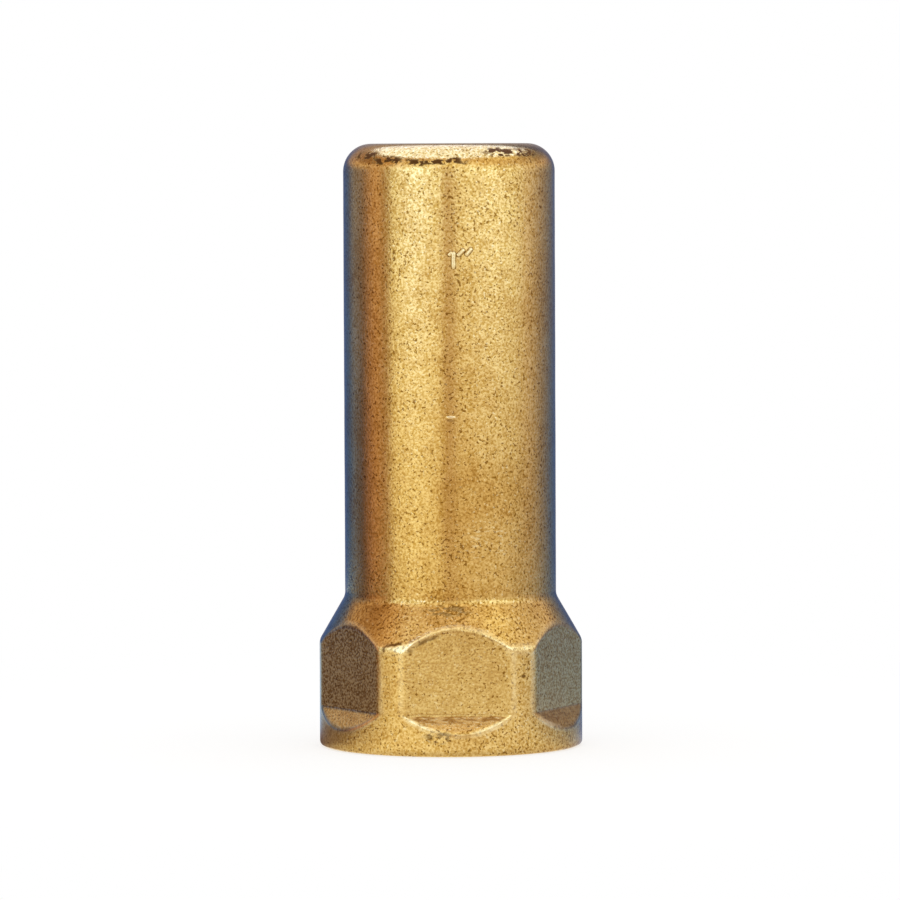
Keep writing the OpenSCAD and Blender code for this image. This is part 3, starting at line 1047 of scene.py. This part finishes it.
# Cards of the wall, from behind the left side to behind the right: bearing in degrees, glow at the wall's
# foot and glow at its top
WALL_CARDS = (
    # Back wall
    (-180, (0.43, 0.41, 0.39), (0.42, 0.38, 0.38)),
    # Blue edge on the left, a paler slit, a dark flag and a warm card
    (-162, (0.06, 0.13, 0.38), (0.08, 0.15, 0.4)),
    (-138, (0.07, 0.14, 0.41), (0.1, 0.15, 0.38)),
    (-125, (0.15, 0.21, 0.5), (0.36, 0.36, 0.5)),
    (-107, (0.11, 0.09, 0.17), (0.35, 0.29, 0.38)),
    (-96, (0.385, 0.22, 0.215), (0.52, 0.385, 0.39)),
    (-84, (0.565, 0.34, 0.24), (0.78, 0.55, 0.445)),
    (-71, (0.475, 0.33, 0.283), (0.465, 0.365, 0.32)),
    # Left softbox
    (-59, (0.985, 0.91, 0.745), (1.2, 1.37, 1.58)),
    (-38, (1.1, 1.07, 0.95), (1.53, 1.98, 3.3)),
    (-11, (0.92, 0.82, 0.64), (1.31, 1.52, 1.91)),
    # Seam between the two softboxes
    (-4, (0.595, 0.43, 0.32), (0.78, 0.71, 0.74)),
    (1, (0.605, 0.44, 0.335), (0.83, 0.77, 0.78)),
    # Right softbox
    (11, (0.835, 0.725, 0.6), (1.26, 1.4, 1.63)),
    (50, (0.86, 0.8, 0.77), (1.57, 1.885, 2.58)),
    (72, (0.77, 0.715, 0.71), (1.335, 1.52, 1.84)),
    # Its fading side and the blue edge on the right
    (92, (0.61, 0.53, 0.565), (0.9, 0.865, 1.0)),
    (116, (0.275, 0.275, 0.445), (0.525, 0.47, 0.565)),
    (140, (0.1, 0.167, 0.415), (0.26, 0.265, 0.355)),
    (162, (0.061, 0.122, 0.33), (0.105, 0.155, 0.35)),
    (180, (0.43, 0.41, 0.39), (0.42, 0.38, 0.38)),
)
FOOT_GLOW = [(bearing, foot) for bearing, foot, top in WALL_CARDS]
TOP_GLOW = [(bearing, top) for bearing, foot, top in WALL_CARDS]

# Glow by bearing on the floor, above the wall, in the gap under the roof and on the roof
FLOOR_GLOW = (
    (-180, (0.45, 0.45, 0.45)),
    (-150, (0.4, 0.6, 0.96)),
    (-118, (0.24, 0.22, 0.28)),
    (-104, (0.215, 0.165, 0.165)),
    (-82, (0.29, 0.225, 0.21)),
    (-64, (0.66, 0.59, 0.54)),
    (-40, (1.06, 1.01, 0.92)),
    (55, (0.9, 0.87, 0.9)),
    (78, (0.61, 0.66, 0.9)),
    (98, (0.45, 0.53, 0.78)),
    (126, (0.205, 0.285, 0.52)),
    (155, (0.17, 0.25, 0.44)),
    (180, (0.45, 0.45, 0.45)),
)
UPPER_GLOW = (
    (-180, (0.4, 0.36, 0.36)),
    (-160, (0.14, 0.19, 0.4)),
    (-130, (0.78, 0.6, 0.48)),
    (-80, (0.78, 0.61, 0.59)),
    (-62, (1.18, 1.25, 1.45)),
    (-38, (1.4, 1.68, 2.3)),
    (-12, (1.2, 1.22, 1.3)),
    (-2, (0.8, 0.69, 0.64)),
    (12, (1.12, 1.17, 1.25)),
    (50, (1.43, 1.65, 2.05)),
    (92, (0.95, 0.9, 0.97)),
    (128, (0.74, 0.6, 0.57)),
    (160, (0.12, 0.14, 0.28)),
    (180, (0.4, 0.36, 0.36)),
)
EAVES_GLOW = (
    (-180, (0.38, 0.33, 0.32)),
    (-132, (0.5, 0.36, 0.36)),
    (-112, (0.36, 0.23, 0.18)),
    (-88, (0.5, 0.31, 0.2)),
    (-70, (0.82, 0.6, 0.47)),
    (-45, (1.22, 1.28, 1.45)),
    (45, (1.25, 1.27, 1.3)),
    (92, (0.82, 0.72, 0.68)),
    (125, (0.44, 0.36, 0.33)),
    (160, (0.12, 0.13, 0.24)),
    (180, (0.38, 0.33, 0.32)),
)
GAP_GLOW = (
    (-180, (0.3, 0.24, 0.22)),
    (-130, (0.5, 0.34, 0.29)),
    (-80, (0.55, 0.36, 0.24)),
    (-20, (0.86, 0.67, 0.51)),
    (20, (0.89, 0.71, 0.54)),
    (45, (1.02, 0.9, 0.68)),
    (80, (1.27, 1.18, 0.86)),
    (130, (0.46, 0.4, 0.4)),
    (180, (0.3, 0.24, 0.22)),
)
ROOF_GLOW = (
    (-180, (1.35, 1.65, 2.9)),
    (180, (1.35, 1.65, 2.9)),
)


def glow_at(stops, bearing):
    """Colour at a bearing, between the stops on either side of it."""
    for (start, first), (end, second) in zip(stops, stops[1:]):
        if start <= bearing <= end:
            share = (bearing - start) / (end - start)
            return [a + (b - a) * share for a, b in zip(first, second)]


def station(distance, height, stops, tint=PLAIN, lift=0.0):
    """One ring of a bowl, as points and glow. A lift raises its front and lowers its back."""
    points, glow = [], []
    for i in range(CARD_COLUMNS + 1):
        bearing = -180 + 360 * i / CARD_COLUMNS
        points.append(at_bearing(bearing, distance, height + lift * math.cos(math.radians(bearing))))
        glow += [level * share for level, share in zip(glow_at(stops, bearing), tint)] + [1.0]
    return points, glow


def bare_material(name):
    """A material with no shader yet."""
    material = bpy.data.materials.new(name)
    material.use_nodes = True
    material.node_tree.nodes.clear()
    return material, Nodes(material.node_tree)


def bowl(name, *stations):
    """Round glowing card through stations. Reflections see it, and dull surfaces do not."""
    row = CARD_COLUMNS + 1
    points, glow, faces = [], [], []
    for ring_points, ring_glow in stations:
        points += ring_points
        glow += ring_glow
    for k in range(len(stations) - 1):
        low, high = k * row, (k + 1) * row
        faces += [(low + i, low + i + 1, high + i + 1, high + i) for i in range(CARD_COLUMNS)]
    mesh = bpy.data.meshes.new(name)
    mesh.from_pydata(points, [], faces)
    mesh.attributes.new("glow", "FLOAT_COLOR", "POINT").data.foreach_set("color", glow)
    material, nodes = bare_material(name)
    shade = nodes.add("ShaderNodeAttribute", attribute_name="glow").outputs["Color"]
    nodes.add("ShaderNodeOutputMaterial", nodes.out("ShaderNodeEmission", shade, 1.0))
    mesh.materials.append(material)
    sheet = bpy.data.objects.new(name, mesh)
    sheet.visible_camera = False
    sheet.visible_diffuse = False
    sheet.visible_shadow = False
    scene.collection.objects.link(sheet)


bowl(
    "floor_cards",
    station(SHADE_R[0], FLOOR_CARD_Z, FLOOR_GLOW, tint=FOOT_SHADE),
    station(SHADE_R[1], FLOOR_CARD_Z, FLOOR_GLOW),
    station(STUDIO_R, FLOOR_CARD_Z, FLOOR_GLOW),
)
bowl(
    "softboxes",
    station(STUDIO_R, 0.0, FOOT_GLOW),
    station(STUDIO_R, FOOT_Z, FOOT_GLOW),
    station(STUDIO_R, TOP_Z, TOP_GLOW),
    station(STUDIO_R, UPPER_Z, UPPER_GLOW),
    station(STUDIO_R, EAVES_Z[0], EAVES_GLOW),
    station(STUDIO_R, EAVES_Z[1], EAVES_GLOW, tint=EAVES_FADE),
    station(STUDIO_R, GAP_Z, GAP_GLOW, lift=GAP_LIFT),
    station(ROOF_R, RIM_Z[0], GAP_GLOW, lift=RIM_LIFT),
    station(ROOF_R, RIM_Z[1], ROOF_GLOW, lift=RIM_LIFT),
    station(ROOF_EYE_R, ROOF_Z, ROOF_GLOW),
)

roof_lamp = bpy.data.lights.new("roof_lamp", "AREA")
roof_lamp.shape = "DISK"
roof_lamp.size = 2 * ROOF_R
roof_lamp.energy = LAMP_W
roof_light = bpy.data.objects.new("roof_lamp", roof_lamp)
roof_light.location = (0, 0, ROOF_Z)
roof_light.visible_camera = False
roof_light.visible_glossy = False
scene.collection.objects.link(roof_light)


def seen_plainly(nodes):
    """1 for the rays that show the background: from the camera, in metal and through glass."""
    path = nodes.add("ShaderNodeLightPath").outputs
    return nodes.most(path["Is Camera Ray"], path["Is Glossy Ray"], path["Is Transmission Ray"])


def floor():
    """Pale floor that keeps the shadow near the part and is plain white further off."""
    mesh = bpy.data.meshes.new("floor")
    corners = [(-1, -1), (1, -1), (1, 1), (-1, 1)]
    mesh.from_pydata([(FLOOR_REACH * x, FLOOR_REACH * y, FLOOR_Z) for x, y in corners], [], [(0, 1, 2, 3)])
    material, nodes = bare_material("floor")
    place = nodes.add("ShaderNodeTexCoord").outputs["Object"]
    away = nodes.add("ShaderNodeVectorMath", place, operation="LENGTH").outputs["Value"]
    plain = seen_plainly(nodes)
    pale = nodes.out("ShaderNodeBsdfDiffuse", colour(FLOOR_GREY, FLOOR_GREY, FLOOR_GREY))
    glow = nodes.out("ShaderNodeEmission", WHITE, nodes.times(plain, FLOOR_GLOW_NEAR))
    near_part = nodes.out("ShaderNodeAddShader", pale, glow)
    white = nodes.out("ShaderNodeEmission", WHITE, plain)
    shown = nodes.out("ShaderNodeMixShader", nodes.remap(away, *FLOOR_FADE), near_part, white)
    under = nodes.add("ShaderNodeNewGeometry").outputs["Backfacing"]
    clear = nodes.out("ShaderNodeBsdfTransparent")
    nodes.add("ShaderNodeOutputMaterial", nodes.out("ShaderNodeMixShader", under, shown, clear))
    mesh.materials.append(material)
    ground = bpy.data.objects.new("floor", mesh)
    scene.collection.objects.link(ground)


def background():
    """White surroundings where they are seen, and a soft even light elsewhere."""
    world = bpy.data.worlds.new("studio")
    world.use_nodes = True
    world.node_tree.nodes.clear()
    nodes = Nodes(world.node_tree)
    strength = nodes.remap(seen_plainly(nodes), 0.0, 1.0, SURROUNDINGS, 1.0)
    nodes.add("ShaderNodeOutputWorld", nodes.out("ShaderNodeBackground", WHITE, strength))
    scene.world = world


floor()
background()
